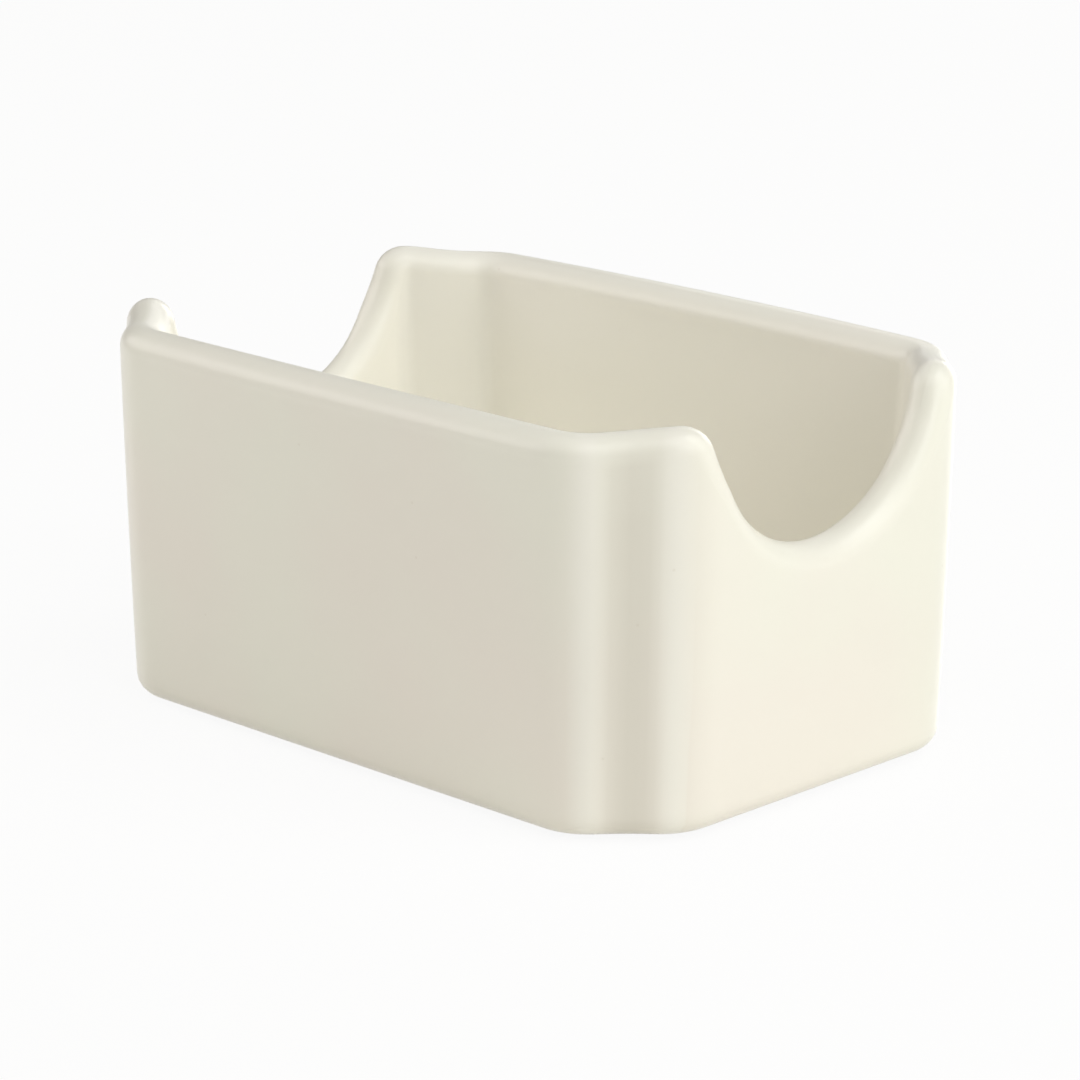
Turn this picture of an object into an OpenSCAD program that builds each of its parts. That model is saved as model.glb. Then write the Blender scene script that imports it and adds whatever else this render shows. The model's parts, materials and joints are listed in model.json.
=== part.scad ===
/* [Holder] */
// Length over both ends at the rim, without their bow
rim_length = 102; // [92:0.5:112]
// Width over both long sides at the rim, without their bow
rim_width = 69.2; // [64:0.2:76]
// Height from the table to the top of the lip
holder_height = 50.2; // [44:0.2:58]
// How far each end leans in from the rim to the foot
end_lean = 1.5; // [0:0.1:3]
// How far each long side leans in from the rim to the foot
side_lean = 0.6; // [0:0.1:3]
// How far the middle of each long side bows out at the rim
side_bow = 2.1; // [0:0.1:3]
// How far the middle of each end bows out at the rim
end_bow = 0.4; // [0:0.1:2]

/* [Corners] */
// Leg of the cut across each corner, along either side
corner_cut = 11; // [9:0.2:14]
// Radius of the soft upright edges beside each cut, at the rim
rim_edge_radius = 9; // [6:0.2:10]
// Radius of the soft upright edges beside each cut, at the foot
foot_edge_radius = 7.2; // [6:0.2:9]
// Radius of the upright edges inside the well
well_edge_radius = 5; // [3:0.2:6]

/* [Wall and floor] */
// Thickness of the glazed wall at the lip, which is fully rounded
lip_thickness = 5.6; // [4:0.1:7]
// Thickness of the glazed wall beside the floor
wall_foot_thickness = 6.4; // [4.5:0.1:8]
// Thickness of the glazed floor
floor_thickness = 4.6; // [3.5:0.1:7]
// Radius between the well's wall and its floor
floor_fillet = 4.5; // [2:0.1:7]

/* [Finger notches] */
// Width of each notch between the ends of its shoulders
notch_width = 45.5; // [38:0.5:50]
// Depth of each notch below the rim
notch_depth = 17.5; // [12:0.5:20]
// Radius of the shoulders on both sides of a notch
shoulder_radius = 4; // [3.5:0.1:6]

/* [Foot] */
// Radius between the outside of the wall and the underside
foot_fillet = 2.8; // [1.5:0.1:4]
// Distance from the outside of the wall to the foot ring
foot_set_in = 3.6; // [3:0.1:6]
// Width of the dry foot ring
foot_width = 3.4; // [2:0.1:5]
// How far the foot ring stands below the glazed underside
foot_drop = 0.6; // [0.3:0.1:1.5]
// Depth of the recess inside the foot ring
recess_depth = 1.6; // [1:0.1:2.5]

/* [Glaze] */
// Thickness of the glaze
glaze_thickness = 0.3; // [0.15:0.05:0.6]

/* [Smoothness] */
// Steps along each long side
side_steps = 8; // [4:2:10]
// Steps along each end, spread evenly along its notch
end_steps = 22; // [12:2:26]
// Steps round each soft upright edge
edge_steps = 4; // [2:1:4]
// Steps across each corner cut
cut_steps = 2; // [1:1:3]
// Steps up each face of the wall
wall_steps = 4; // [2:1:4]
// Steps over the rounded lip
lip_steps = 8; // [6:2:8]
// Steps round each fillet
fillet_steps = 4; // [2:1:4]

/* [Hidden] */

// The walls stand nearly upright at the rim and lean in faster lower down
lean_power = 1.55;
// Least radius of an upright edge, where a wall or a fillet takes up all of it
least_edge_radius = 1;

// Share of a corner cut's leg that is lost for each unit of inset
cut_share = 2 - sqrt(2);
// Length along a side, from a soft edge's tangent to its corner, for each unit of radius
tangent_share = tan(22.5);

// Each notch is two tangent arcs: a shoulder on each side and one bottom arc, whose radius follows from both
notch_reach = notch_width / 2;
bottom_radius = (notch_reach * notch_reach + notch_depth * notch_depth) / (2 * notch_depth) - shoulder_radius;
notch_turn = asin(notch_reach / (bottom_radius + shoulder_radius));
bottom_reach = bottom_radius * sin(notch_turn);
bottom_run = bottom_radius * notch_turn * PI / 180;
shoulder_run = shoulder_radius * notch_turn * PI / 180;

// Length of the lip's crest from the middle of an end to the distance y along that end
function crest_run(y) =
    y < bottom_reach ? bottom_radius * asin(y / bottom_radius) * PI / 180
    : y < notch_reach
        ? bottom_run + shoulder_run - shoulder_radius * asin((notch_reach - y) / shoulder_radius) * PI / 180
    : bottom_run + shoulder_run + y - notch_reach;

// Distance along an end at which the crest has the length run
function crest_reach(run) =
    run < bottom_run ? bottom_radius * sin(run / bottom_radius * 180 / PI)
    : run < bottom_run + shoulder_run
        ? notch_reach - shoulder_radius * sin((bottom_run + shoulder_run - run) / shoulder_radius * 180 / PI)
    : notch_reach + run - bottom_run - shoulder_run;

// How far the crest lies below the rim at the distance y from the middle of an end
function notch_drop(y) =
    y < bottom_reach ? notch_depth - bottom_radius + sqrt(pow(bottom_radius, 2) - y * y)
    : y < notch_reach ? shoulder_radius - sqrt(pow(shoulder_radius, 2) - pow(notch_reach - y, 2))
    : 0;

// Straight stretch of a side, from its middle to its soft edge
function straight_reach(half, cut, radius) = half - cut - radius * tangent_share;
end_reach = straight_reach(
    rim_width / 2 - lip_thickness / 2,
    corner_cut - cut_share * lip_thickness / 2,
    rim_edge_radius - lip_thickness / 2
);
end_run = crest_run(end_reach);

// Places along an end and along a side, as shares of the straight stretch from its middle
function end_share(i) =
    let (run = end_run * (2 * i / end_steps - 1))
    sign(run) * crest_reach(abs(run)) / end_reach;
function side_share(i) = 2 * i / side_steps - 1;

// Stations round the plan, anticlockwise from the front: which side, which stretch of it, and the place there.
// Stretch 0 is the straight side, 1 the edge after it, 2 the corner cut and 3 the edge before the next side
STATIONS = [
    for (side = [0:3])
        each concat(
            side % 2 == 0
                ? [for (i = [0:side_steps - 1]) [side, 0, side_share(i)]]
                : [for (i = [0:end_steps - 1]) [side, 0, end_share(i)]],
            [for (i = [0:edge_steps - 1]) [side, 1, i / edge_steps]],
            [for (i = [0:cut_steps - 1]) [side, 2, i / cut_steps]],
            [for (i = [0:edge_steps - 1]) [side, 3, i / edge_steps]]
        )
];
COUNT = len(STATIONS);

// Directions along and out of each side
ALONG = [[1, 0], [0, 1], [-1, 0], [0, -1]];
OUT = [[0, -1], [1, 0], [0, 1], [-1, 0]];

// One point of the plan outline. size holds the half length, the half width, the corner cut, the edge radius,
// and the bow of the ends and of the sides
function straight_point(station, half, off, cut, radius) =
    let (
        tangent = radius * tangent_share,
        back = tangent / sqrt(2),
        turn = 45 * station[2],
        flat = cut - 2 * back
    )
    station[1] == 0 ? [station[2] * straight_reach(half, cut, radius), off]
    : station[1] == 1 ? [half - cut - tangent + radius * sin(turn), off - radius + radius * cos(turn)]
    : station[1] == 2 ? [half - cut + back + flat * station[2], off - back - flat * station[2]]
    : [half - radius + radius * sin(45 + turn), off - cut - tangent + radius * cos(45 + turn)];

function outline_point(station, size) =
    let (
        side = station[0],
        half = side % 2 == 0 ? size[0] : size[1],
        off = side % 2 == 0 ? size[1] : size[0],
        local = straight_point(station, half, off, size[2], size[3]),
        p = local[0] * ALONG[side] + local[1] * OUT[side],
        share = [p[0] / size[0], p[1] / size[1]]
    )
    [
        p[0] + sign(p[0]) * size[4] * max(0, 1 - pow(share[1], 2)) * pow(share[0], 2),
        p[1] + sign(p[1]) * size[5] * max(0, 1 - pow(share[0], 2)) * pow(share[1], 2)
    ];

// The outside of the holder at the height z, moved in by inset
function height_share(z) = min(1, max(0, z / holder_height));
function outside_size(z, inset) =
    let (
        up = height_share(z),
        lean = pow(1 - up, lean_power)
    )
    [
        rim_length / 2 - end_lean * lean - inset,
        rim_width / 2 - side_lean * lean - inset,
        corner_cut - cut_share * inset,
        max(least_edge_radius, foot_edge_radius + (rim_edge_radius - foot_edge_radius) * up - inset),
        end_bow * up,
        side_bow * up
    ];

// The well's wall at the height z, moved in by inset
function wall_thickness(z) = wall_foot_thickness + (lip_thickness - wall_foot_thickness) * height_share(z);
function well_size(z, inset) =
    let (
        size = outside_size(z, wall_thickness(z) + inset)
    )
    [size[0], size[1], size[2], max(least_edge_radius, well_edge_radius - inset), size[4], size[5]];

// Each ring below is a list of points, one for each station, and skin is the depth below the glazed surface
function ring_outside(z, inset) = [for (s = STATIONS) concat(outline_point(s, outside_size(z, inset)), z)];
function ring_foot(z, inset) = [for (s = STATIONS) concat(outline_point(s, outside_size(0, inset)), z)];
function ring_well(z, inset) = [for (s = STATIONS) concat(outline_point(s, well_size(z, inset)), z)];

// The crest of the lip, over the middle of the wall
function crest_drop(p) = abs(p[0]) > rim_length / 2 - corner_cut ? notch_drop(abs(p[1])) : 0;
function middle_point(station, z) =
    (outline_point(station, outside_size(z, 0)) + outline_point(station, well_size(z, 0))) / 2;
CREST = [
    for (s = STATIONS)
        let (z = holder_height - crest_drop(middle_point(s, holder_height)))
        concat(middle_point(s, z), z)
];

// The lip's arc stands square to the crest. Each frame holds the arc's direction up, its centre, its way out
// and its radius
function unit(v) = v / norm(v);
function lip_frame(i) =
    let (
        s = STATIONS[i],
        run = unit(CREST[(i + 1) % COUNT] - CREST[(i + COUNT - 1) % COUNT]),
        crest_z = CREST[i][2],
        across = outline_point(s, outside_size(crest_z, 0)) - outline_point(s, well_size(crest_z, 0)),
        out = concat(unit(across), 0),
        raw = unit(cross(out, run)),
        up = raw[2] < 0 ? -raw : raw,
        radius = norm(across) / 2,
        centre_z = crest_z - radius * up[2],
        middle = middle_point(s, centre_z) - radius * [up[0], up[1]]
    )
    [up, concat(middle, centre_z), out, radius];
LIP = [for (i = [0:COUNT - 1]) lip_frame(i)];

// Rows of rings from the glaze line, up the outside, over the lip, down the well and in over its floor
well_floor = recess_depth + floor_thickness;
glaze_line = foot_drop;

function foot_rows(skin) = [
    ring_foot(glaze_line + skin, foot_set_in + skin),
    for (i = [0:fillet_steps])
        let (
            turn = 90 * i / fillet_steps,
            radius = foot_fillet - skin,
            z = glaze_line + foot_fillet - radius * cos(turn)
        )
        ring_outside(z, foot_fillet - radius * sin(turn))
];

function outside_rows(skin) = [
    for (k = [1:wall_steps])
        [
            for (i = [0:COUNT - 1])
                let (
                    share = k / wall_steps,
                    low = glaze_line + foot_fillet,
                    z = low + (LIP[i][1][2] - low) * share,
                    p = outline_point(STATIONS[i], outside_size(z, skin)),
                    slide = -LIP[i][3] * share * [LIP[i][0][0], LIP[i][0][1]]
                )
                concat(p + slide, z)
        ]
];

function lip_rows(skin) = [
    for (k = [1:lip_steps - 1])
        [
            for (f = LIP)
                let (turn = 90 - 180 * k / lip_steps)
                f[1] + (f[3] - skin) * (cos(turn) * f[0] + sin(turn) * f[2])
        ]
];

function well_rows(skin) = [
    for (k = [wall_steps:-1:1])
        [
            for (i = [0:COUNT - 1])
                let (
                    share = k / wall_steps,
                    low = well_floor + floor_fillet,
                    z = low + (LIP[i][1][2] - low) * share,
                    p = outline_point(STATIONS[i], well_size(z, -skin)),
                    slide = -LIP[i][3] * share * [LIP[i][0][0], LIP[i][0][1]]
                )
                concat(p + slide, z)
        ]
];

function floor_rows(skin) = [
    for (i = [0:fillet_steps])
        let (
            turn = 90 * i / fillet_steps,
            radius = floor_fillet + skin,
            z = well_floor + floor_fillet - radius * sin(turn)
        )
        ring_well(z, floor_fillet - radius * cos(turn))
];

// The whole glazed surface, or the clay under it where skin is the glaze's thickness
function surface_rows(skin) =
    concat(foot_rows(skin), outside_rows(skin), lip_rows(skin), well_rows(skin), floor_rows(skin));

// The dry foot ring and the recess, from the recess outwards
ring_inner = foot_set_in + foot_width;
function foot_ring_rows() = [
    ring_foot(recess_depth + glaze_thickness, ring_inner),
    ring_foot(0, ring_inner),
    ring_foot(0, foot_set_in + glaze_thickness)
];

// Triangles between neighbouring rings, and a fan that closes a ring to one point
function strip(rows) = [
    for (r = [0:rows - 2])
        for (i = [0:COUNT - 1])
            let (
                j = (i + 1) % COUNT,
                a = r * COUNT + i,
                b = r * COUNT + j,
                c = (r + 1) * COUNT + j,
                d = (r + 1) * COUNT + i
            )
            each [[c, b, a], [d, c, a]]
];
function fan(row, point, downwards) = [
    for (i = [0:COUNT - 1])
        let (
            a = row * COUNT + i,
            b = row * COUNT + (i + 1) % COUNT
        )
        downwards ? [a, b, point] : [b, a, point]
];
function shifted(faces, by) = [for (f = faces) [for (v = f) v + by]];
function flattened(rows) = [for (row = rows) each row];

// The fired clay: one closed surface from the middle of the recess round to the middle of the well's floor
module china_body() {
    rows = concat(foot_ring_rows(), surface_rows(glaze_thickness));
    points = concat(
        flattened(rows),
        [
            [0, 0, recess_depth + glaze_thickness],
            [0, 0, well_floor - glaze_thickness]
        ]
    );
    last = len(rows) * COUNT;
    color("whitesmoke")
        polyhedron(
            points,
            concat(
                fan(0, last, true),
                strip(len(rows)),
                fan(len(rows) - 1, last + 1, false)
            )
        );
}

// The glaze over everything but the foot: its free surface, and the clay's surface turned round behind it
module glaze_coat() {
    free = surface_rows(0);
    back = surface_rows(glaze_thickness);
    half = len(free) * COUNT + 1;
    points = concat(
        flattened(free),
        [[0, 0, well_floor]],
        flattened(back),
        [[0, 0, well_floor - glaze_thickness]]
    );
    skin = concat(strip(len(free)), fan(len(free) - 1, half - 1, false));
    rear = [for (f = shifted(skin, half)) [f[2], f[1], f[0]]];
    edge = [
        for (i = [0:COUNT - 1])
            let (j = (i + 1) % COUNT)
            each [[i, j, half + j], [i, half + j, half + i]]
    ];
    color("ivory")
        polyhedron(points, concat(skin, rear, edge));
}

// The patch of glaze in the recess inside the foot ring
module base_glaze() {
    color("ivory")
        translate([0, 0, recess_depth])
            linear_extrude(glaze_thickness)
                polygon([for (p = ring_foot(0, ring_inner)) [p[0], p[1]]]);
}

china_body();
glaze_coat();
base_glaze();
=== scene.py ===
"""Ivory sugar packet holder: its looks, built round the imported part."""

import json
import logging
import math
from contextlib import contextmanager
from dataclasses import dataclass, field
from enum import Enum
from functools import partial
from typing import Any, Callable, Iterator, Sequence

import bmesh
import bpy
from mathutils import Matrix, Vector

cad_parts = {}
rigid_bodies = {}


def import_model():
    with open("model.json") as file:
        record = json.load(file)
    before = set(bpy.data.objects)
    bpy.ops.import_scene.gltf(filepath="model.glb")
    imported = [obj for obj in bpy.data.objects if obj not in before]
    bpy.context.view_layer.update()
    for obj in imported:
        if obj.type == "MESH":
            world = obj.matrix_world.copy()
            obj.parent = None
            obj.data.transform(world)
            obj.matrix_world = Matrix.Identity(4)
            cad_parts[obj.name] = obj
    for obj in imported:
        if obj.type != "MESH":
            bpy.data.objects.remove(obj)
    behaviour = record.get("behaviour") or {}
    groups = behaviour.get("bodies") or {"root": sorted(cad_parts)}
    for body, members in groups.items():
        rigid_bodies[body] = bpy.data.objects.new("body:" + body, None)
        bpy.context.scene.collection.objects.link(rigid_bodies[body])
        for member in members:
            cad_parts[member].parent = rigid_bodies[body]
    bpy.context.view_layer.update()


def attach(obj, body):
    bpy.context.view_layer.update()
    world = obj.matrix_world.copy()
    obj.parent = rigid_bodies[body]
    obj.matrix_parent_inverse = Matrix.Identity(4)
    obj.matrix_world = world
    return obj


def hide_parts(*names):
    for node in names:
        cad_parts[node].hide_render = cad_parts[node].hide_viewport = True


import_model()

LOG = logging.getLogger("sugar_packet_holder")
MM = 0.001
HAIR = 0.01 * MM
MANY_SIDES = 40
SENSOR = 36.0

Triple = tuple[float, float, float]
Stops = Sequence[tuple[float, float]]


class Pick(Enum):
    """What a selection in edit mode is made of."""

    POINTS = (True, False, False)
    EDGES = (False, True, False)
    FACES = (False, False, True)


def take(piece: bpy.types.Object) -> None:
    """Deselects everything, then selects one piece and makes it the active one.

    Args:
        piece: The object to work on.
    """
    for other in bpy.context.view_layer.objects:
        other.select_set(False)
    bpy.context.view_layer.objects.active = piece
    piece.select_set(True)


@contextmanager
def edit(piece: bpy.types.Object) -> Iterator[None]:
    """Holds one piece in edit mode, with nothing selected at first.

    Args:
        piece: The mesh object to edit.
    """
    take(piece)
    bpy.ops.object.mode_set(mode="EDIT")
    bpy.ops.mesh.select_all(action="DESELECT")
    try:
        yield
    finally:
        bpy.ops.object.mode_set(mode="OBJECT")


def pick(piece: bpy.types.Object, kind: Pick, wanted: Callable[[Any], bool]) -> None:
    """Selects, in edit mode, the points, edges or faces that pass a test, and nothing else.

    Args:
        piece: The object in edit mode.
        kind: What to select.
        wanted: The test, called with each element.
    """
    bpy.context.tool_settings.mesh_select_mode = kind.value
    bpy.ops.mesh.select_all(action="DESELECT")
    mesh = bmesh.from_edit_mesh(piece.data)
    mesh.normal_update()
    mesh.verts.index_update()
    pool = {Pick.POINTS: mesh.verts, Pick.EDGES: mesh.edges, Pick.FACES: mesh.faces}[kind]
    for element in [each for each in pool if wanted(each)]:
        element.select_set(True)
    mesh.select_flush_mode()
    bmesh.update_edit_mesh(piece.data)


def middle(edge: bmesh.types.BMEdge) -> Vector:
    """Returns the middle of an edge."""
    return (edge.verts[0].co + edge.verts[1].co) / 2


def is_flat_floor(face: bmesh.types.BMFace, level: float) -> bool:
    """Tells whether a face is the many-sided one across the form at a level."""
    return len(face.verts) > MANY_SIDES and abs(face.calc_center_median().z - level) < HAIR


def apply(piece: bpy.types.Object, name: str, kind: str, **settings: Any) -> None:
    """Adds a modifier with its settings and applies it.

    Args:
        piece: The object that gets it.
        name: The modifier's name.
        kind: Its type, as Blender calls it.
        **settings: Its properties.
    """
    take(piece)
    modifier = piece.modifiers.new(name, kind)
    for key, value in settings.items():
        setattr(modifier, key, value)
    bpy.ops.object.modifier_apply(modifier=name)


def copy_of(piece: bpy.types.Object, name: str) -> bpy.types.Object:
    """Copies a piece.

    Args:
        piece: The object to copy.
        name: The copy's name.

    Returns:
        The copy, with its own mesh.
    """
    take(piece)
    bpy.ops.object.duplicate(linked=False)
    twin = bpy.context.view_layer.objects.active
    twin.name = name
    twin.data.name = name
    return twin


def face_out(piece: bpy.types.Object) -> None:
    """Turns all faces of a closed piece outwards.

    Args:
        piece: The closed mesh object.
    """
    with edit(piece):
        bpy.ops.mesh.select_all(action="SELECT")
        bpy.ops.mesh.normals_make_consistent(inside=False)
        if bmesh.from_edit_mesh(piece.data).calc_volume(signed=True) < 0:
            bpy.ops.mesh.flip_normals()


def linear(hex_colour: str) -> tuple[float, float, float, float]:
    """Turns an sRGB hex colour to linear RGBA.

    Args:
        hex_colour: Six hex digits, with or without a leading hash.

    Returns:
        Red, green, blue and alpha from 0 to 1.
    """
    digits = hex_colour.lstrip("#")
    parts = [int(digits[i : i + 2], 16) / 255 for i in (0, 2, 4)]
    made = [p / 12.92 if p <= 0.04045 else ((p + 0.055) / 1.055) ** 2.4 for p in parts]
    return made[0], made[1], made[2], 1.0


def clamp(share: float) -> float:
    """Cuts a share off at 0 and 1."""
    return min(1.0, max(0.0, share))


def shares(steps: int) -> list[float]:
    """Gives equal shares up to 1, one for each step."""
    return [step / steps for step in range(1, steps + 1)]


def smooth(share: float) -> float:
    """Cuts a share off at 0 and 1, and eases it into both ends."""
    share = clamp(share)
    return share * share * (3 - 2 * share)


def node(
    tree: bpy.types.NodeTree,
    kind: str,
    links: dict[Any, Any] | None = None,
    stops: Stops = (),
    **settings: Any,
) -> bpy.types.Node:
    """Adds a node with its settings and links.

    Args:
        tree: The node tree that gets it.
        kind: The node's type.
        links: Socket name or number to a value, or to the output socket that feeds it.
        stops: Place and grey level of each of a colour ramp's two stops.
        **settings: The node's own properties.

    Returns:
        The new node.
    """
    made = tree.nodes.new(kind)
    for key, value in settings.items():
        setattr(made, key, value)
    for key, value in (links or {}).items():
        if isinstance(value, bpy.types.NodeSocket):
            tree.links.new(value, made.inputs[key])
        else:
            made.inputs[key].default_value = value
    if stops:
        for element, (place, level) in zip(made.color_ramp.elements, stops):
            element.position = place
            element.color = (level, level, level, 1.0)
    return made


def empty_material(name: str) -> tuple[bpy.types.Material, Callable[..., bpy.types.Node]]:
    """Makes a material with no nodes yet.

    Args:
        name: The material's name.

    Returns:
        The material, and the function that adds a node to it.
    """
    material = bpy.data.materials.new(name)
    material.use_nodes = True
    material.node_tree.nodes.clear()
    return material, partial(node, material.node_tree)


@dataclass(frozen=True)
class GlossGlaze:
    """Clear-coloured ivory gloss glaze, dipped and fired on vitrified china.

    It has a soft, broad gloss and is faintly wavy where it ran before it set. It is thinner and
    paler over the lip, which also carries a painted highlight, as do the ridges beside the cut
    corners, and the well's walls are painted paler as painted light.
    It is deeper in tone where it gathered round the well's floor and the foot, and painted shade
    darkens the hollow of each cut corner.

    Attributes:
        body, warm: The two tones that it drifts between.
        thin_and_painted_light, pooled_and_shade: Its pale tone, for thinner glaze, painted
            highlight and painted light, and its deep tone, for gathered glaze and painted shade.
        index: Refraction of glass.
        drift, drift_stops: Size of the clouds of tone, and how they part.
        wave, wave_rise: Length and height of the waves.
        ripple, ripple_rise: Length and height of the finer ripple.
        speck_spacing: Distance between the very faint iron specks.
        speck_stops: Radius and strength of a speck, and where it ends, in shares of the spacing.
    """

    name: str = "ivory_gloss_glaze_on_china"
    body: str = "#F3F1E3"
    # Pale tone for thinner glaze, also used as painted highlight and painted light.
    thin_and_painted_light: str = "#F8F5EA"
    # Deep tone for gathered glaze, also used as painted shade in the hollow of each cut corner.
    pooled_and_shade: str = "#DDD8CA"
    warm: str = "#F3EDE1"
    speck: str = "#B9A98C"
    roughness: float = 0.3
    index: float = 1.5
    drift: float = 34 * MM
    drift_stops: Stops = ((0.38, 0.0), (0.66, 1.0))
    wave: float = 16 * MM
    wave_rise: float = 0.4 * MM
    ripple: float = 3.2 * MM
    ripple_rise: float = 0.05 * MM
    speck_spacing: float = 7 * MM
    speck_stops: Stops = ((0.016, 0.12), (0.034, 0.0))

    def make(self) -> bpy.types.Material:
        """Makes the material.

        Returns:
            The material, which reads two of the mesh's attributes for its tone: the pale tone of
            thinner glaze with painted highlight and painted light, and the deep tone of gathered
            glaze with painted shade.
        """
        material, add = empty_material(self.name)
        on_piece = add("ShaderNodeTexCoord").outputs["Object"]
        place = add("ShaderNodeMapping", {"Vector": on_piece}).outputs["Vector"]
        drift = add(
            "ShaderNodeTexNoise",
            {"Vector": place, "Scale": 1 / self.drift, "Detail": 2.0, "Roughness": 0.45},
        )
        cloud = add("ShaderNodeValToRGB", {"Fac": drift.outputs["Fac"]}, stops=self.drift_stops)
        # Attributes written on the mesh: the deep-tone share (gathered glaze, and painted shade in
        # each cut's hollow) and the pale-tone share (thinner glaze, painted highlight on the lip
        # and the ridges, and painted light inside the well).
        pool = add("ShaderNodeAttribute", attribute_name="pool")
        thin_and_painted_light = add("ShaderNodeAttribute", attribute_name="thin_and_painted_light")
        cells = add(
            "ShaderNodeTexVoronoi",
            {"Vector": place, "Scale": 1 / self.speck_spacing, "Randomness": 1.0},
        )
        dots = add("ShaderNodeValToRGB", {"Fac": cells.outputs["Distance"]}, stops=self.speck_stops)
        colour: Any = linear(self.body)
        for share, tone in (
            (cloud.outputs["Color"], self.warm),
            (pool.outputs["Fac"], self.pooled_and_shade),
            (thin_and_painted_light.outputs["Fac"], self.thin_and_painted_light),
            (dots.outputs["Color"], self.speck),
        ):
            mixed = add("ShaderNodeMix", {0: share, 6: colour, 7: linear(tone)}, data_type="RGBA")
            colour = mixed.outputs[2]
        wave = add(
            "ShaderNodeTexNoise",
            {"Vector": place, "Scale": 1 / self.wave, "Detail": 1.0, "Roughness": 0.4},
        )
        swell = add(
            "ShaderNodeBump",
            {"Strength": 0.35, "Distance": self.wave_rise, "Height": wave.outputs["Fac"]},
        )
        ripple = add(
            "ShaderNodeTexNoise",
            {"Vector": place, "Scale": 1 / self.ripple, "Detail": 2.0, "Roughness": 0.5},
        )
        skin = add(
            "ShaderNodeBump",
            {
                "Strength": 0.12,
                "Distance": self.ripple_rise,
                "Height": ripple.outputs["Fac"],
                "Normal": swell.outputs["Normal"],
            },
        )
        shader = add(
            "ShaderNodeBsdfPrincipled",
            {
                "Base Color": colour,
                "Roughness": self.roughness,
                "IOR": self.index,
                "Normal": skin.outputs["Normal"],
            },
        )
        add("ShaderNodeOutputMaterial", {"Surface": shader.outputs["BSDF"]})
        return material


@dataclass(frozen=True)
class DryClay:
    """Bare vitrified china, wiped clean of glaze under the foot and fired.

    It is matt, a shade deeper than the glaze and finely grained like unglazed biscuit.

    Attributes:
        light, dark: The two tones of its clouds.
        blotch, blotch_stops: Size of the clouds, and how they part.
        grain, grain_rise: Size and height of the grit, drawn coarser than real so that it shows.
    """

    name: str = "bare_fired_china"
    light: str = "#E4DCC8"
    dark: str = "#D3C9B2"
    roughness: float = 0.88
    index: float = 1.5
    blotch: float = 9 * MM
    blotch_stops: Stops = ((0.35, 0.0), (0.7, 1.0))
    grain: float = 0.5 * MM
    grain_rise: float = 0.06 * MM

    def make(self) -> bpy.types.Material:
        """Makes the material.

        Returns:
            The material.
        """
        material, add = empty_material(self.name)
        on_piece = add("ShaderNodeTexCoord").outputs["Object"]
        place = add("ShaderNodeMapping", {"Vector": on_piece}).outputs["Vector"]
        blotch = add(
            "ShaderNodeTexNoise",
            {"Vector": place, "Scale": 1 / self.blotch, "Detail": 4.0, "Roughness": 0.6},
        )
        cloud = add("ShaderNodeValToRGB", {"Fac": blotch.outputs["Fac"]}, stops=self.blotch_stops)
        colour = add(
            "ShaderNodeMix",
            {0: cloud.outputs["Color"], 6: linear(self.light), 7: linear(self.dark)},
            data_type="RGBA",
        )
        grit = add(
            "ShaderNodeTexNoise",
            {"Vector": place, "Scale": 1 / self.grain, "Detail": 3.0, "Roughness": 0.7},
        )
        bump = add(
            "ShaderNodeBump",
            {"Strength": 0.5, "Distance": self.grain_rise, "Height": grit.outputs["Fac"]},
        )
        shader = add(
            "ShaderNodeBsdfPrincipled",
            {
                "Base Color": colour.outputs[2],
                "Roughness": self.roughness,
                "IOR": self.index,
                "Normal": bump.outputs["Normal"],
            },
        )
        add("ShaderNodeOutputMaterial", {"Surface": shader.outputs["BSDF"]})
        return material


@dataclass(frozen=True)
class GlazeDepthsAndLight:
    """How much thinner the glaze ran and how deep it gathered, with painted highlight, painted
    light and painted shade, as shares from 0 to 1, and how far each reaches.

    The reach over the lip is in lip radii, the one out from the middle of a cut corner is a
    share of the way to its ridge, and the one up from the well's floor is in floor fillets.
    """

    # Thinner glaze over the lip, with a painted highlight there too.
    lip_thin_and_highlight: float = 0.45
    # Painted light: the well's walls are painted paler.
    well_painted_light: float = 0.75
    # Painted highlight along the ridges beside the cut corners.
    ridge_highlight: float = 0.85
    well_pool: float = 0.9
    foot_pool: float = 0.25
    # Painted shade in the hollow of each cut corner.
    cut_shade: float = 0.75
    lip_reach: float = 1.6
    cut_reach: float = 0.75
    floor_reach: float = 1.5


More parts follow.
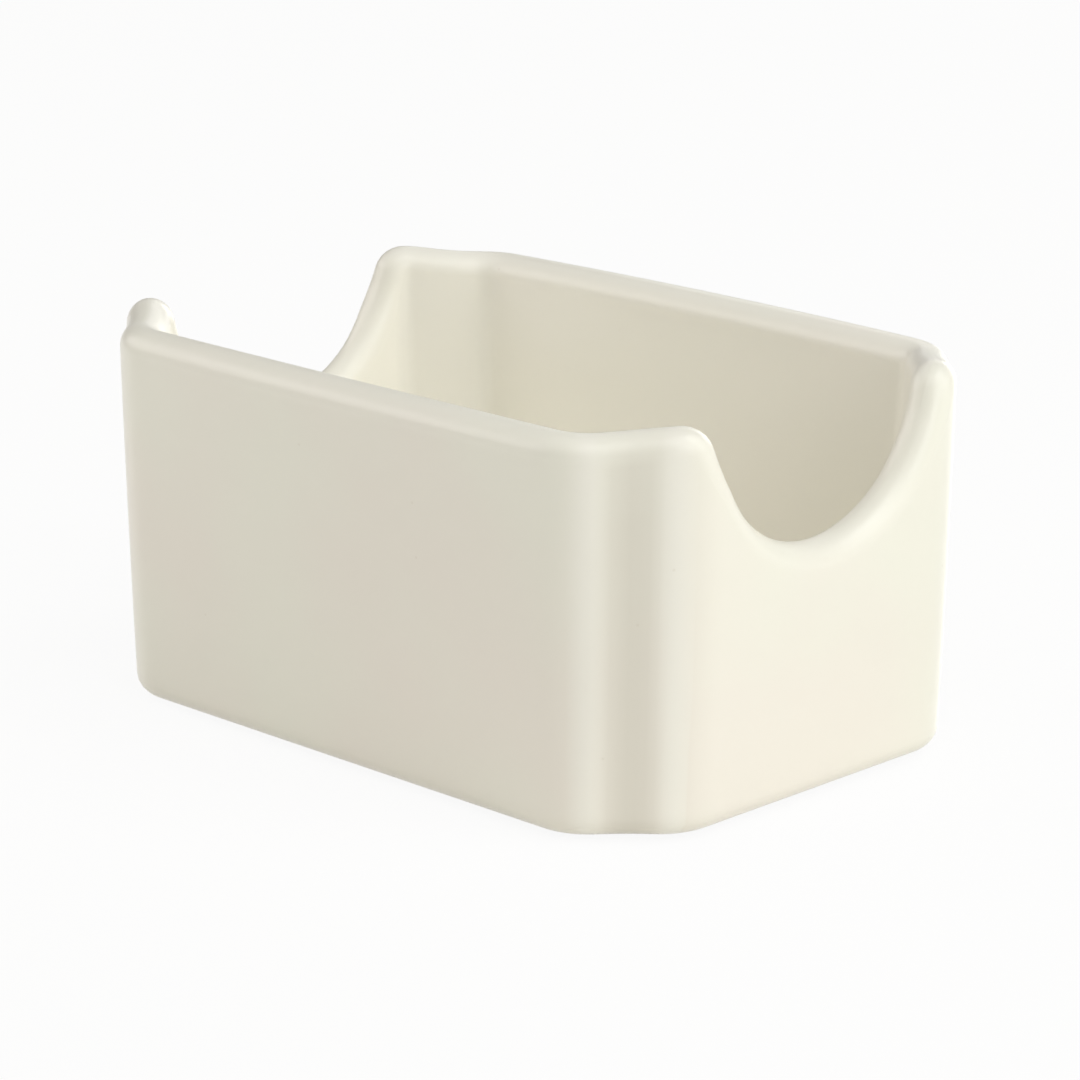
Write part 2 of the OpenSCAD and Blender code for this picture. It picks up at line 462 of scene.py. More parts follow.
@dataclass
class PressedForm:
    """The holder's glazed surface: walls, rounded lip with its two notches, well and underside.

    The wall's section is carried round one quarter of the plan along the middle of the lip,
    lowered into the finger notch, mirrored, and grown down to the foot and the well's floor.

    Attributes:
        wall, wall_foot: Thickness of the wall at the lip and at its foot.
        corner_cut: How much of each side a cut corner takes away.
        edge_radius: Radius of the soft edges on both sides of a cut.
        hollow: How far a cut turns in at each of its edges, in degrees.
        end_lean, side_lean: How far the foot stands in from the rim.
        end_bow, side_bow: How far the middle of the rim bulges out.
        lean_power: How soon the walls straighten on the way up.
        shoulder_rise, side_sag: How far the rim lifts beside a notch, and sags along the sides.
        rise_share: Share of a cut over which the rim lifts.
        shoulder_start, shoulder_share: Where the lift fades into a notch, in shares of its reach.
        ridge_place, ridge_reach: Place of the ridge beside a cut's middle, and the half width of
            the painted highlight along it.
        glaze_line: Height at which the glaze ends over the table.
        foot_set_in: How far the glaze line stands in from the outside.
        guard: Width of the narrow rows that hold the wall flat beside a rounding.
        lip_share: Share of its radius that each edge of the lip is rounded by.
        merge_reach: How close points of the lip are merged.
        rung_slack: How much a section's length may differ from the wall's thickness, as a share.
        least_lift, least_upright: Smallest lift that is made, and height of an edge with rows.
        least_facing: Smallest upward part of the normal of a face on the ring.
        cage_points, cage_room: Points along each way of the cage, and its size to the form's.
    """

    length: float = 102 * MM
    width: float = 69.2 * MM
    height: float = 50.2 * MM
    wall: float = 5.6 * MM
    wall_foot: float = 6.3 * MM
    corner_cut: float = 11.4 * MM
    edge_radius: float = 9.2 * MM
    hollow: float = 6.0
    end_lean: float = 1.05 * MM
    side_lean: float = 0.2 * MM
    end_bow: float = 0.85 * MM
    side_bow: float = 1.75 * MM
    lean_power: float = 1.55
    notch_width: float = 46 * MM
    notch_depth: float = 17.4 * MM
    shoulder_radius: float = 4 * MM
    shoulder_rise: float = 0.8 * MM
    side_sag: float = 0.15 * MM
    ridge_place: float = 5.2 * MM
    ridge_reach: float = 3.2 * MM
    glaze_line: float = 0.6 * MM
    foot_fillet: float = 2.5 * MM
    foot_set_in: float = 3.6 * MM
    well_floor: float = 6.2 * MM
    floor_fillet: float = 4.5 * MM
    guard: float = 0.8 * MM
    lip_share: float = 0.97
    merge_reach: float = 0.03 * MM
    rise_share: float = 0.85
    shoulder_start: float = 0.65
    shoulder_share: float = 0.27
    rung_slack: float = 0.15
    least_lift: float = 0.001 * MM
    least_upright: float = 8 * MM
    least_facing: float = 0.15
    cage_points: int = 9
    cage_room: float = 1.3
    depths_and_light: GlazeDepthsAndLight = GlazeDepthsAndLight()
    notch_steps: int = 15
    flank_steps: int = 5
    shoulder_steps: int = 6
    rest_steps: int = 4
    hollow_steps: int = 6
    edge_steps: int = 8
    side_steps: int = 9
    wall_rows: int = 5
    fillet_steps: int = 6
    lip_steps: int = 7

    @property
    def lip_radius(self) -> float:
        """The lip is a full round, half the wall thick."""
        return self.wall / 2

    @property
    def crest_level(self) -> float:
        """Height of the middle of the lip's round, away from the notches."""
        return self.height - self.lip_radius

    @property
    def bottom_radius(self) -> float:
        """Radius of the notch's bottom arc at the crest, tangent to both shoulders."""
        reach = self.notch_width / 2
        return (reach**2 + self.notch_depth**2) / (2 * self.notch_depth) - self.shoulder_radius

    @property
    def flank_angle(self) -> float:
        """Slope, in radians, where the bottom arc meets a shoulder."""
        return math.asin(self.notch_width / 2 / (self.bottom_radius + self.shoulder_radius))

    def lip_level(self, y: float, under: float = 0.0) -> float:
        """Gives the height of the lip over an end, or of a line that follows it underneath.

        Args:
            y: Distance from the middle of the end.
            under: How far under the top of the lip the line runs.

        Returns:
            The height above the table.
        """
        y = abs(y)
        reach = self.notch_width / 2
        bottom, shoulder = self.bottom_radius + under, self.shoulder_radius - under
        if y >= reach:
            return self.height - under
        if y >= bottom * math.sin(self.flank_angle):
            hub = self.height - self.shoulder_radius
            return hub + math.sqrt(shoulder**2 - (reach - y) ** 2)
        hub = self.height - self.notch_depth + self.bottom_radius
        return hub - math.sqrt(bottom**2 - y**2)

    def rise(self, x: float, y: float) -> float:
        """Gives how far the rim stands above its level, as it lifts to the notches' shoulders.

        Args:
            x: Place along the length.
            y: Place across the width.

        Returns:
            The rise, below zero where the long sides sag before their ends.
        """
        x, y = abs(x), abs(y)
        border = self.length / 2 - self.corner_cut
        sag = -self.side_sag * min(1.0, x / border) ** 2
        up = smooth((x - border) / (self.corner_cut * self.rise_share))
        full = sag + (self.shoulder_rise - sag) * up
        if x < border:
            return full
        reach = self.notch_width / 2
        return full * smooth((y / reach - self.shoulder_start) / self.shoulder_share)

    def straight_reach(self, half: float) -> float:
        """Gives how far the straight stretch of a side runs from its middle.

        Args:
            half: Half the length of that side.

        Returns:
            The distance to the start of its soft edge.
        """
        return half - self.corner_cut - self.edge_radius * math.tan(math.pi / 8)

    @property
    def edge_turn(self) -> float:
        """How far a soft edge turns, in radians: 45 degrees, and more for the hollow cut."""
        return math.pi / 4 + math.radians(self.hollow)

    def end_places(self) -> list[float]:
        """Gives the sections along half an end, evenly spread along the notch's bottom arc.

        Returns:
            Their distances from the middle of the end.
        """
        bottom = self.bottom_radius + self.lip_radius
        last = math.asin(self.straight_reach(self.width / 2) / bottom)
        return [bottom * math.sin(last * share) for share in shares(self.notch_steps)]

    def edge_turns(self) -> list[float]:
        """Gives the sections round the soft edge beside a notch, closest on the notch's shoulder.

        Returns:
            Their angles from the end's straight stretch, in radians.
        """
        start = self.straight_reach(self.width / 2)
        radius = self.edge_radius - self.lip_radius
        reach = self.notch_width / 2
        bottom = self.bottom_radius + self.lip_radius
        shoulder = self.shoulder_radius - self.lip_radius
        low, high = math.asin(start / bottom), self.flank_angle
        flank = [bottom * math.sin(low + (high - low) * k) for k in shares(self.flank_steps)]
        top = [reach - shoulder * math.sin(high * (1 - k)) for k in shares(self.shoulder_steps)]
        angles = [math.asin((y - start) / radius) for y in flank + top]
        rest = self.edge_turn - angles[-1]
        return angles + [angles[-1] + rest * share for share in shares(self.rest_steps)]

    def build(self, name: str) -> bpy.types.Object:
        """Builds the surface, open at the glaze line under the foot.

        Args:
            name: The new object's name.

        Returns:
            The object, at the origin, with its faces outwards.
        """
        piece = self.draw_quarter(name)
        self.lower_notch(piece)
        self.complete(piece)
        self.grow_outside(piece)
        self.grow_well(piece)
        self.round_foot(piece)
        self.lean_and_bow(piece)
        self.round_lip(piece)
        self.open_foot(piece)
        self.paint_depths_and_light(piece)
        return piece

    def draw_quarter(self, name: str) -> bpy.types.Object:
        """Carries the wall's flat section round one quarter of the plan, from an end to a side.

        Args:
            name: The new object's name.

        Returns:
            A flat strip as wide as the wall, at the level of the lip's middle.
        """
        half, level = self.length / 2, self.crest_level
        places = self.end_places()
        start = (half - self.wall / 2, places[0] / 2, level)
        bpy.ops.mesh.primitive_plane_add(size=1, location=start)
        piece = bpy.context.view_layer.objects.active
        piece.name = piece.data.name = name
        piece.scale = (self.wall, places[0], 1)
        take(piece)
        bpy.ops.object.transform_apply(location=True, rotation=True, scale=True)
        with edit(piece):
            pick(piece, Pick.EDGES, lambda edge: middle(edge).y > places[0] - HAIR)
            for before, after in zip(places, places[1:]):
                self.carry((0, after - before, 0))
            hub = Vector((half - self.edge_radius, places[-1], level))
            self.turn(self.edge_turns(), hub)
            hollow = math.radians(self.hollow)
            soft = self.edge_radius * (math.tan(math.pi / 8) + math.sin(hollow))
            flat = self.corner_cut * math.sqrt(2) - 2 * soft
            away = self.edge_radius + flat / (2 * math.sin(hollow))
            hub += away * Vector((math.cos(self.edge_turn), math.sin(self.edge_turn), 0))
            self.turn([-2 * hollow * share for share in shares(self.hollow_steps)], hub)
            reach = self.straight_reach(half)
            hub = Vector((reach, self.width / 2 - self.edge_radius, level))
            self.turn([self.edge_turn * share for share in shares(self.edge_steps)], hub)
            self.carry((-self.guard, 0, 0))
            step = (reach - self.guard) / self.side_steps
            for _ in range(self.side_steps):
                self.carry((-step, 0, 0))
        return piece

    @staticmethod
    def carry(by: Triple) -> None:
        """Extrudes the selected section to its next place."""
        bpy.ops.mesh.extrude_region_move(TRANSFORM_OT_translate={"value": by})

    @staticmethod
    def turn(angles: Sequence[float], hub: Vector) -> None:
        """Spins the selected section round an upright axis, one step for each angle.

        Args:
            angles: Angles from the start, in radians.
            hub: A point on the axis.
        """
        before = 0.0
        for angle in angles:
            bpy.ops.mesh.spin(
                steps=1, angle=angle - before, center=hub, axis=(0, 0, -1), use_auto_merge=False
            )
            before = angle

    def lower_notch(self, piece: bpy.types.Object) -> None:
        """Lowers the sections in the notch to the middle of its lip, and lifts those beside it.

        Args:
            piece: The flat strip.
        """
        border = self.length / 2 - self.corner_cut
        with edit(piece):
            mesh = bmesh.from_edit_mesh(piece.data)
            rungs = [
                (middle(edge), [v.index for v in edge.verts])
                for edge in mesh.edges
                if abs(edge.calc_length() - self.wall) < self.rung_slack * self.wall
            ]
            for place, pair in rungs:
                lift = self.rise(place.x, place.y)
                if place.x > border:
                    lift += self.lip_level(place.y, self.lip_radius) - self.crest_level
                if abs(lift) > self.least_lift:
                    pick(piece, Pick.POINTS, lambda vert: vert.index in pair)
                    bpy.ops.transform.translate(value=(0, 0, lift))

    def complete(self, piece: bpy.types.Object) -> None:
        """Mirrors the quarter into the whole ring and closes its seams.

        Args:
            piece: The quarter of the strip.
        """
        both = (True, True, False)
        apply(piece, "quarters", "MIRROR", use_axis=both, use_clip=False, merge_threshold=HAIR)
        with edit(piece):
            bpy.ops.mesh.select_all(action="SELECT")
            bpy.ops.mesh.remove_doubles(threshold=HAIR)
            bpy.ops.mesh.normals_make_consistent(inside=False)
            mesh = bmesh.from_edit_mesh(piece.data)
            if sum(face.normal.z for face in mesh.faces) < 0:
                bpy.ops.mesh.flip_normals()

    def is_outer(self, place: Vector) -> bool:
        """Tells whether a place lies outside the middle line of the wall.

        Args:
            place: A point on one of the wall's faces.

        Returns:
            True on the outside of the holder.
        """
        x, y = abs(place.x), abs(place.y)
        inset = self.wall / 2
        cut = self.corner_cut - (2 - math.sqrt(2)) * inset
        half, across = self.length / 2 - inset, self.width / 2 - inset
        return x > half or y > across or x + y > half + across - cut

    def pick_rim(self, piece: bpy.types.Object, outer: bool) -> None:
        """Selects the open edge of the ring, on the outside or on the well's side.

        Args:
            piece: The ring, in edit mode.
            outer: True for the outside.
        """
        pick(
            piece,
            Pick.EDGES,
            lambda edge: edge.is_boundary
            and middle(edge).z > self.height / 3
            and self.is_outer(middle(edge)) == outer,
        )

    def drop_to(self, level: float) -> None:
        """Extrudes the selected loop down and flattens it at a level."""
        self.carry((0, 0, -self.guard))
        bpy.ops.transform.resize(value=(1, 1, 0), center_override=(0, 0, level))

    def grow_outside(self, piece: bpy.types.Object) -> None:
        """Grows the outside of the wall down from the ring and closes it across the foot.

        Args:
            piece: The ring.
        """
        with edit(piece):
            self.pick_rim(piece, outer=True)
            self.carry((0, 0, -self.guard))
            self.drop_to(self.glaze_line + self.foot_fillet + self.guard)
            self.drop_to(self.glaze_line)
            bpy.ops.mesh.edge_face_add()

    def grow_well(self, piece: bpy.types.Object) -> None:
        """Grows the well's wall down from the ring, thicker at its foot and rounded to the floor.

        Args:
            piece: The ring with the outside of the wall.
        """
        with edit(piece):
            self.pick_rim(piece, outer=False)
            self.carry((0, 0, -self.guard))
            self.drop_to(self.well_floor + self.floor_fillet + self.guard)
            self.draw_in(0, self.wall_foot - self.wall)
            self.drop_to(self.well_floor + self.floor_fillet)
            before = 0.0
            for share in shares(self.fillet_steps):
                turn = math.pi / 2 * share
                inset = self.floor_fillet * (1 - math.cos(turn))
                self.drop_to(self.well_floor + self.floor_fillet * (1 - math.sin(turn)))
                self.draw_in(self.wall_foot - self.wall + before, inset - before)
                before = inset
            bpy.ops.mesh.edge_face_add()
            bpy.ops.mesh.inset(thickness=self.guard)

    def draw_in(self, before: float, inset: float) -> None:
        """Draws the selected loop of the well in towards the middle.

        Args:
            before: How far it stands in from the well's mouth already.
            inset: How much further it goes in.
        """
        halves = [size / 2 - self.wall - before for size in (self.length, self.width)]
        scales = [1 - inset / half for half in halves]
        bpy.ops.transform.resize(value=(*scales, 1), center_override=(0, 0, 0))

    def round_foot(self, piece: bpy.types.Object) -> None:
        """Rounds the foot's outer edge, and gives both faces of the wall their rows.

        Args:
            piece: The closed form.
        """
        with edit(piece):
            bpy.ops.mesh.select_all(action="SELECT")
            bpy.ops.mesh.normals_make_consistent(inside=False)
            low = self.glaze_line
            pick(piece, Pick.EDGES, lambda edge: all(abs(v.co.z - low) < HAIR for v in edge.verts))
            bpy.ops.mesh.bevel(
                offset=self.foot_fillet,
                segments=self.fillet_steps - 1,
                profile=0.5,
                affect="EDGES",
                clamp_overlap=False,
            )
            pick(
                piece,
                Pick.EDGES,
                lambda edge: abs(edge.verts[0].co.z - edge.verts[1].co.z) > self.least_upright,
            )
            bpy.ops.mesh.subdivide(number_cuts=self.wall_rows)

    def lean_and_bow(self, piece: bpy.types.Object) -> None:
        """Draws the foot in and bows the sides out at the rim, with a cage round the form.

        Args:
            piece: The straight-sided form.
        """
        size = Vector((self.length, self.width, self.height)) * self.cage_room
        centre = Vector((0, 0, self.height / 2))
        bpy.ops.object.add(type="LATTICE", location=centre)
        cage = bpy.context.view_layer.objects.active
        cage.scale = size
        grid = cage.data
        for way in "uvw":
            setattr(grid, f"points_{way}", self.cage_points)
            setattr(grid, f"interpolation_type_{way}", "KEY_CATMULL_ROM")
        for point in grid.points:
            rest = Vector(point.co)
            place = centre + Vector(a * b for a, b in zip(rest, size))
            moved = self.settle(place) - place
            point.co_deform = rest + Vector(a / b for a, b in zip(moved, size))
        bpy.context.view_layer.update()
        apply(piece, "cage", "LATTICE", object=cage)
        bpy.data.objects.remove(cage)

    def settle(self, place: Vector) -> Vector:
        """Gives where a point of the straight-sided form comes to lie.

        Args:
            place: The point before.

        Returns:
            The point with the lean and the bow.
        """
        up = clamp(place.z / self.height)
        lean = (1 - up) ** self.lean_power
        x, y = place.x / (self.length / 2), place.y / (self.width / 2)
        end = -self.end_lean * lean * x + self.end_bow * up * (1 - y * y) * x * abs(x)
        side = -self.side_lean * lean * y + self.side_bow * up * (1 - x * x) * y * abs(y)
        return place + Vector((end, side, 0))

    def round_lip(self, piece: bpy.types.Object) -> None:
        """Raises the ring square to its run, and rounds both its edges into one full round.

        Args:
            piece: The form, flat along the top of its wall.
        """
        with edit(piece):
            pick(
                piece,
                Pick.FACES,
                lambda face: face.normal.z > self.least_facing
                and face.calc_center_median().z > self.height / 2,
            )
            bpy.ops.mesh.extrude_region_shrink_fatten(
                TRANSFORM_OT_shrink_fatten={"value": self.lip_radius}
            )
            bpy.ops.mesh.region_to_loop()
            bpy.ops.mesh.bevel(
                offset=self.lip_radius * self.lip_share,
                segments=self.lip_steps,
                profile=0.5,
                affect="EDGES",
                clamp_overlap=False,
            )
            bpy.ops.mesh.select_all(action="SELECT")
            bpy.ops.mesh.remove_doubles(threshold=self.merge_reach)

    def open_foot(self, piece: bpy.types.Object) -> None:
        """Wipes the glaze off inside the line under the foot.

        Args:
            piece: The closed form.
        """
        with edit(piece):
            low = self.glaze_line
            pick(piece, Pick.FACES, lambda face: is_flat_floor(face, low))
            bpy.ops.mesh.inset(thickness=self.foot_set_in - self.foot_fillet)
            bpy.ops.mesh.delete(type="FACE")
        take(piece)
        bpy.ops.object.shade_smooth()

    def paint_depths_and_light(self, piece: bpy.types.Object) -> None:
        """Writes on the mesh, for the glaze's tone, where it ran thinner and where it gathered,
        with painted highlight, painted light and painted shade.

        Args:
            piece: The finished surface.
        """
        mesh = piece.data
        thin_and_painted_light = mesh.attributes.new("thin_and_painted_light", "FLOAT", "POINT")
        pool = mesh.attributes.new("pool", "FLOAT", "POINT")
        for vert in mesh.vertices:
            thin_and_painted_light.data[vert.index].value, pool.data[vert.index].value = self.depth_and_light_at(vert.co)

    def depth_and_light_at(self, place: Vector) -> tuple[float, float]:
        """Gives how much thinner the glaze is at a place, with painted highlight and painted light,
        and how deep it gathered there, with painted shade.

        It is thinner over the lip, which also gets a painted highlight; the ridges beside each cut
        corner get a painted highlight, and the well's walls a paler tone as painted light.
        It gathers round the well's floor and the foot, and painted shade darkens the hollow of each
        cut corner.

        Args:
            place: A point of the finished surface.

        Returns:
            Both shares, from 0 to 1.
        """
        depths_and_light = self.depths_and_light
        x, y, z = abs(place.x), abs(place.y), place.z
        outer, by_end = self.is_outer(place), x > self.length / 2 - self.corner_cut
        well = not outer and z > self.well_floor / 2
        cut = outer and by_end and y > self.width / 2 - self.corner_cut
        top = (self.lip_level(y) if by_end else self.height) + self.rise(x, y)
        lip = max(0.0, 1 - (top - z) / (depths_and_light.lip_reach * self.lip_radius))
        along = abs(y - x - (self.width - self.length) / 2) / math.sqrt(2)
        away = (along - self.ridge_place) / self.ridge_reach
        # Painted highlight along the ridge beside the cut.
        ridge = smooth(1 - abs(away)) if cut else 0.0
        # Painted shade in the hollow of the cut, strongest at its middle.
        hollow_shade = max(0.0, 1 - along / (depths_and_light.cut_reach * self.ridge_place)) if cut else 0.0
        if well:
            # Painted light: the well's walls are painted paler.
            well_light = depths_and_light.well_painted_light + (1 - depths_and_light.well_painted_light) * clamp(1 - away)
            up = abs(z - self.well_floor) / (depths_and_light.floor_reach * self.floor_fillet)
            low = depths_and_light.well_pool * clamp(1 - up)
        else:
            well_light = 0.0
            low = depths_and_light.foot_pool * clamp(1 - z / self.foot_fillet)
        # Pale tone: thinner glaze with a painted highlight over the lip, painted highlight on the
        # ridges, painted light in the well.
        thin_and_painted_light = max(depths_and_light.lip_thin_and_highlight * lip, well_light, depths_and_light.ridge_highlight * ridge)
        # Deep tone: glaze gathered round the well's floor and the foot, and painted shade in the
        # cut's hollow away from the lip.
        return thin_and_painted_light, max(low, depths_and_light.cut_shade * math.sqrt(hollow_shade) * (1 - lip))


@dataclass
class SugarPacketHolder:
    """One fired china piece: the clay, the glaze over it and the patch of glaze in its base.

    Attributes:
        foot_width: Width of the dry ring that it stands on.
        recess_depth: Depth of the recess inside the ring, down from the glazed patch.
        soft_edge, soft_steps: Radius of the ring's edges, and the steps that round them.
        foot_merge: How close points of the ring's outline are merged.
        crease: Angle, in degrees, past which an edge stays sharp.
    """

    form: PressedForm = field(default_factory=PressedForm)
    glaze: GlossGlaze = field(default_factory=GlossGlaze)
    clay: DryClay = field(default_factory=DryClay)
    glaze_thickness: float = 0.3 * MM
    foot_width: float = 3.4 * MM
    recess_depth: float = 1.6 * MM
    soft_edge: float = 0.28 * MM
    soft_steps: int = 3
    foot_merge: float = 0.4 * MM
    crease: float = 40.0

    def build(self) -> list[bpy.types.Object]:
        """Builds the three pieces and puts each in the place of its solid.

        Returns:
            The pieces.
        """
        gloss, bare = self.glaze.make(), self.clay.make()
        coat = self.form.build("glaze_coat_surface")
        body = copy_of(coat, "china_body_surface")
        self.shape_body(body)
        base = self.shape_base(body)
        self.thicken_coat(coat)
        for piece, node_name, slot, material in (
            (coat, "glaze_coat", "glaze", gloss),
            (body, "china_body", "clay", bare),
            (base, "base_glaze", "glaze", gloss),
        ):
            piece.data.materials.clear()
            piece.data.materials.append(material)
            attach(piece, "root")
            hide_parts(node_name)
        return [coat, body, base]

    def thicken_coat(self, coat: bpy.types.Object) -> None:
        """Gives the glaze its thickness, inwards from the surface.

        Args:
            coat: The free surface of the glaze.
        """
        apply(coat, "glaze_thickness", "SOLIDIFY", thickness=self.glaze_thickness, offset=-1)

    def shape_body(self, body: bpy.types.Object) -> None:
        """Turns a copy of the glazed surface to the clay under it, with its foot ring and recess.

        Args:
            body: The copy, open under the foot.
        """
        with edit(body):
            bpy.ops.mesh.select_all(action="SELECT")
            bpy.ops.transform.shrink_fatten(value=-self.glaze_thickness)
            level = self.form.glaze_line + self.glaze_thickness
            pick(body, Pick.EDGES, lambda edge: edge.is_boundary)
            bpy.ops.mesh.edge_face_add()
            bpy.ops.mesh.remove_doubles(threshold=self.foot_merge)
            bpy.ops.mesh.inset(thickness=self.glaze_thickness)
            self.form.carry((0, 0, self.soft_edge - level))
            self.round_over(-1)
            flat = self.foot_width - self.glaze_thickness - 2 * self.soft_edge
            bpy.ops.mesh.inset(thickness=flat)
            self.round_over(1)
            self.form.carry((0, 0, self.recess_depth + self.glaze_thickness - self.soft_edge))
        take(body)
        bpy.ops.object.shade_smooth_by_angle(angle=math.radians(self.crease))

    def round_over(self, side: int) -> None:
        """Steps the selected flat face in along one soft edge of the foot ring.

        Args:
            side: -1 where the edge turns down on to the table, 1 where it turns up off it.
        """
        turns = [math.pi / 2 * step / self.soft_steps for step in range(self.soft_steps + 1)]
        for start, end in zip(turns, turns[1:]):
            flat = math.cos(start) - math.cos(end), math.sin(end) - math.sin(start)
            inward, fall = flat if side < 0 else flat[::-1]
            bpy.ops.mesh.inset(thickness=self.soft_edge * inward)
            bpy.ops.transform.translate(value=(0, 0, side * self.soft_edge * fall))

    def shape_base(self, body: bpy.types.Object) -> bpy.types.Object:
        """Cuts the patch of glaze to the recess in the clay.

        Args:
            body: The clay, with its recess.

        Returns:
            The patch, with a soft rim.
        """
        ceiling = self.recess_depth + self.glaze_thickness
        base = copy_of(body, "base_glaze_patch")
        with edit(base):
            pick(base, Pick.FACES, lambda face: is_flat_floor(face, ceiling))
            bpy.ops.mesh.select_all(action="INVERT")
            bpy.ops.mesh.delete(type="FACE")
            bpy.ops.mesh.select_all(action="SELECT")
            self.form.carry((0, 0, -self.glaze_thickness))
            low = self.recess_depth
            pick(base, Pick.EDGES, lambda edge: all(abs(v.co.z - low) < HAIR for v in edge.verts))
            bpy.ops.mesh.bevel(
                offset=self.soft_edge / 2,
                segments=2,
                profile=0.5,
                affect="EDGES",
                clamp_overlap=False,
            )
        face_out(base)
        take(base)
        bpy.ops.object.shade_smooth_by_angle(angle=math.radians(self.crease))
        return base


def direction(turn: float, rise: float) -> Vector:
    """Gives the direction at a turn from +X and a rise above the table.

    Args:
        turn: The turn, in degrees.
        rise: The rise, in degrees.

    Returns:
        A vector of length 1.
    """
    turn, rise = math.radians(turn), math.radians(rise)
    flat = math.cos(rise)
    return Vector((math.cos(turn) * flat, math.sin(turn) * flat, math.sin(rise)))


# Linear tints of the soft boxes: nearly neutral on the right, a little warmer on the left.
COOL: Triple = (0.99, 1.0, 0.985)
WARM: Triple = (1.0, 0.96, 0.93)
EVEN: Triple = (1.0, 0.995, 0.975)


@dataclass(frozen=True)
class SoftBox:
    """A square soft box that faces the holder.

    Attributes:
        turn, rise: Its place, in degrees round from +X and up from the table.
        watts: Its power.
        side, away: Its width and its distance, in metres.
        tint: Its linear colour.
    """

    name: str
    turn: float
    rise: float
    watts: float
    side: float = 0.6
    away: float = 1.2
    tint: Triple = EVEN

    def hang(self, aim: float) -> None:
        """Hangs the lamp.

        Args:
            aim: Height of the point that it faces.
        """
        towards = direction(self.turn, self.rise)
        lamp = bpy.data.lights.new(self.name, "AREA")
        lamp.shape = "SQUARE"
        lamp.size = self.side
        lamp.energy = self.watts
        lamp.color = self.tint
        hung = bpy.data.objects.new(self.name, lamp)
        bpy.context.scene.collection.objects.link(hung)
        hung.location = towards * self.away + Vector((0, 0, aim))
        hung.rotation_euler = towards.to_track_quat("Z", "Y").to_euler()


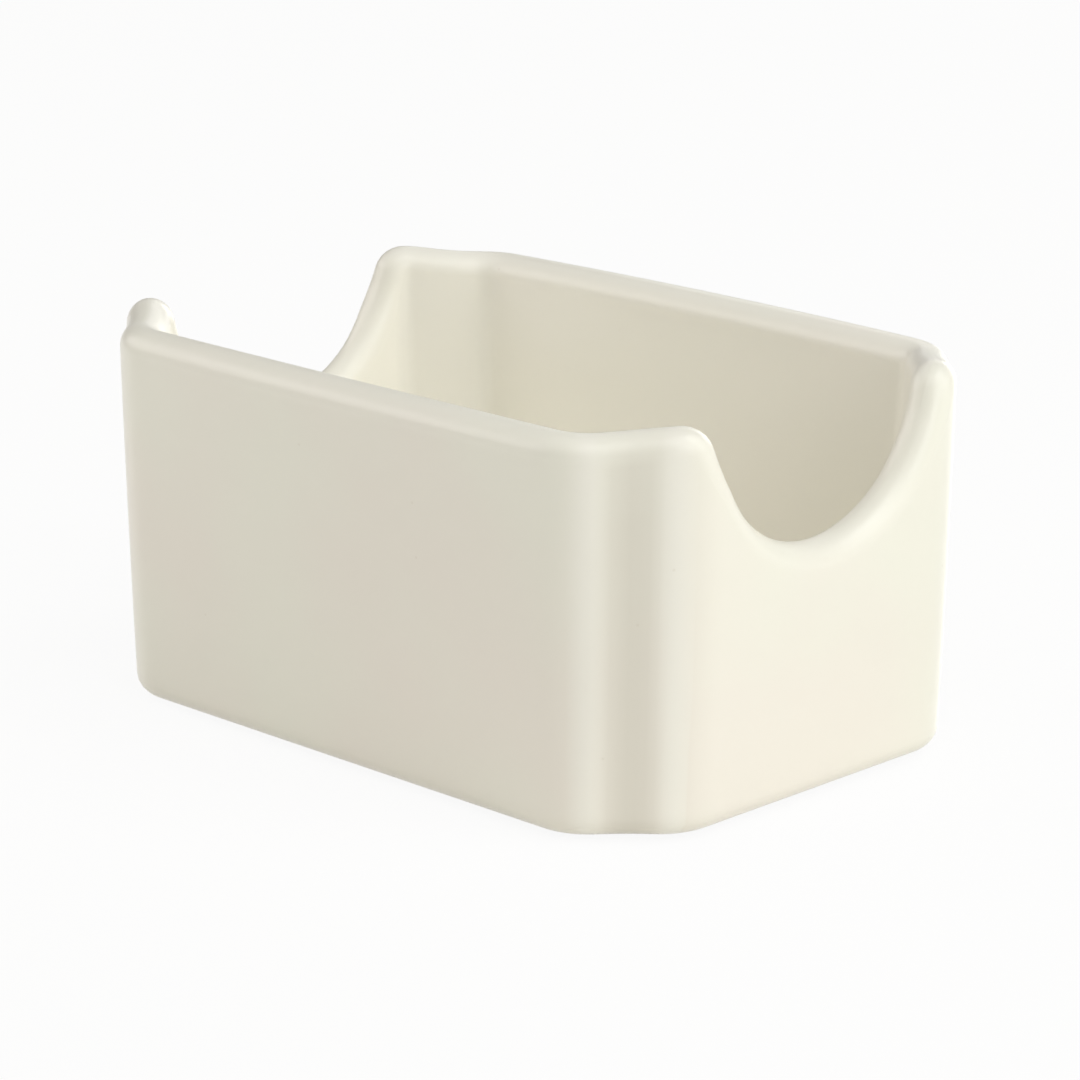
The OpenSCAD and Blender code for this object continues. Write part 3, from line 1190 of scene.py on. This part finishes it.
@dataclass
class Studio:
    """A plain pale table, soft light mostly from the right, and the photograph's view.

    Attributes:
        azimuth, elevation: The camera's place, in degrees round from -Y and up from the table.
        distance: How far the camera is from its target.
        focal_pixels, picture: The focal length and the photograph's width, in pixels.
        aside, above: How far the target lies beside and above the holder's middle.
        roll: The camera's turn on its axis, in degrees.
        clip: The nearest and farthest that the camera sees, in metres.
        room_light: Strength of the room's light on the holder.
        table_glow: Share of the table that is plain white to the camera.
        table_index, table_sheen: Refraction and roughness of the table's faint mirror.
    """

    azimuth: float = 44.6
    elevation: float = 16.12
    distance: float = 537.4 * MM
    focal_pixels: float = 4163.0
    picture: float = 1080.0
    aside: float = 1.33 * MM
    above: float = -2.19 * MM
    roll: float = 0.03
    target_height: float = 25.1 * MM
    clip: tuple[float, float] = (0.01, 20.0)
    room_light: float = 0.17
    table_side: float = 6.0
    table_colour: str = "#F0EFEB"
    table_glow: float = 0.92
    table_index: float = 1.5
    table_sheen: float = 0.15
    lamps: tuple[SoftBox, ...] = (
        SoftBox("right_key_high", 28, 55, 3.9, side=0.7, tint=COOL),
        SoftBox("right_key_low", 25, 22, 2.5, tint=COOL),
        SoftBox("right_front", -15, 22, 3.1, tint=COOL),
        SoftBox("right_high", 0, 55, 1.15, side=0.7, tint=COOL),
        SoftBox("front_high", -45, 55, 1.95, side=0.7),
        SoftBox("left_low", -165, 22, 2.2, tint=WARM),
        SoftBox("left_front", -135, 22, 2.7, tint=WARM),
        SoftBox("left_high", -135, 55, 0.5, side=0.7, tint=WARM),
        SoftBox("back_left", 120, 22, 1.0),
        SoftBox("back_low", 100, 10, 3.0),
    )

    def build(self) -> None:
        """Builds the table, the light and the camera."""
        self.lay_table()
        self.light_world()
        self.hang_lamps()
        self.place_camera()
        bpy.context.scene.view_settings.view_transform = "Standard"

    def lay_table(self) -> None:
        """Lays the pale table, which is nearly white to the camera and keeps a faint shadow."""
        bpy.ops.mesh.primitive_plane_add(size=self.table_side, location=(0, 0, 0))
        table = bpy.context.view_layer.objects.active
        table.name = "table"
        material, add = empty_material("white_table")
        rays = add("ShaderNodeLightPath").outputs
        mirrored = rays["Is Glossy Ray"]
        direct = add("ShaderNodeMath", {0: rays["Is Camera Ray"], 1: mirrored}, operation="MAXIMUM")
        through = rays["Is Transmission Ray"]
        seen = add("ShaderNodeMath", {0: direct.outputs[0], 1: through}, operation="MAXIMUM")
        glow = {0: seen.outputs[0], 1: self.table_glow}
        share = add("ShaderNodeMath", glow, operation="MULTIPLY").outputs[0]
        matt = add("ShaderNodeBsdfDiffuse", {"Color": linear(self.table_colour)})
        white = add("ShaderNodeEmission", {"Color": (1, 1, 1, 1), "Strength": 1.0})
        mixed = add("ShaderNodeMixShader", {0: share, 1: matt.outputs[0], 2: white.outputs[0]})
        grazing = add("ShaderNodeFresnel", {"IOR": self.table_index})
        gloss = add("ShaderNodeMath", {0: mirrored, 1: grazing.outputs[0]}, operation="MULTIPLY")
        sheen = add(
            "ShaderNodeBsdfGlossy", {"Color": gloss.outputs[0], "Roughness": self.table_sheen}
        )
        satin = add("ShaderNodeAddShader", {0: mixed.outputs[0], 1: sheen.outputs[0]})
        add("ShaderNodeOutputMaterial", {"Surface": satin.outputs[0]})
        table.data.materials.append(material)

    def light_world(self) -> None:
        """Fills the room with dim white light, which is full white to the camera."""
        world = bpy.data.worlds.new("pale_room")
        bpy.context.scene.world = world
        world.use_nodes = True
        world.node_tree.nodes.clear()
        add = partial(node, world.node_tree)
        to_camera = add("ShaderNodeLightPath").outputs["Is Camera Ray"]
        levels = {0: to_camera, 1: 0.0, 2: 1.0, 3: self.room_light, 4: 1.0}
        strength = add("ShaderNodeMapRange", levels)
        glow = add("ShaderNodeBackground", {"Color": (1, 1, 1, 1), "Strength": strength.outputs[0]})
        add("ShaderNodeOutputWorld", {"Surface": glow.outputs[0]})

    def hang_lamps(self) -> None:
        """Hangs the soft boxes, the key ones on the right."""
        for lamp in self.lamps:
            lamp.hang(self.target_height)

    def place_camera(self) -> None:
        """Places the camera at the photograph's viewing angle."""
        turn, roll = math.radians(self.azimuth), math.radians(self.roll)
        back = direction(self.azimuth - 90, self.elevation)
        level = Vector((math.cos(turn), math.sin(turn), 0))
        upright = back.cross(level)
        target = Vector((0, 0, self.target_height)) + level * self.aside + upright * self.above
        side = level * math.cos(roll) + upright * math.sin(roll)
        top = upright * math.cos(roll) - level * math.sin(roll)
        lens = bpy.data.cameras.new("camera")
        lens.sensor_width = SENSOR
        lens.lens = self.focal_pixels / self.picture * SENSOR
        lens.clip_start, lens.clip_end = self.clip
        camera = bpy.data.objects.new("camera", lens)
        bpy.context.scene.collection.objects.link(camera)
        place = target + back * self.distance
        facing = Matrix((side, top, back)).transposed().to_4x4()
        camera.matrix_world = Matrix.Translation(place) @ facing
        bpy.context.scene.camera = camera


def main() -> None:
    """Builds the holder and the studio, and logs how many faces each piece has."""
    logging.basicConfig(level=logging.INFO, format="%(name)s: %(message)s")
    for piece in SugarPacketHolder().build():
        LOG.info("%s: %d faces", piece.name, len(piece.data.polygons))
    Studio().build()


if __name__ == "__main__":
    main()
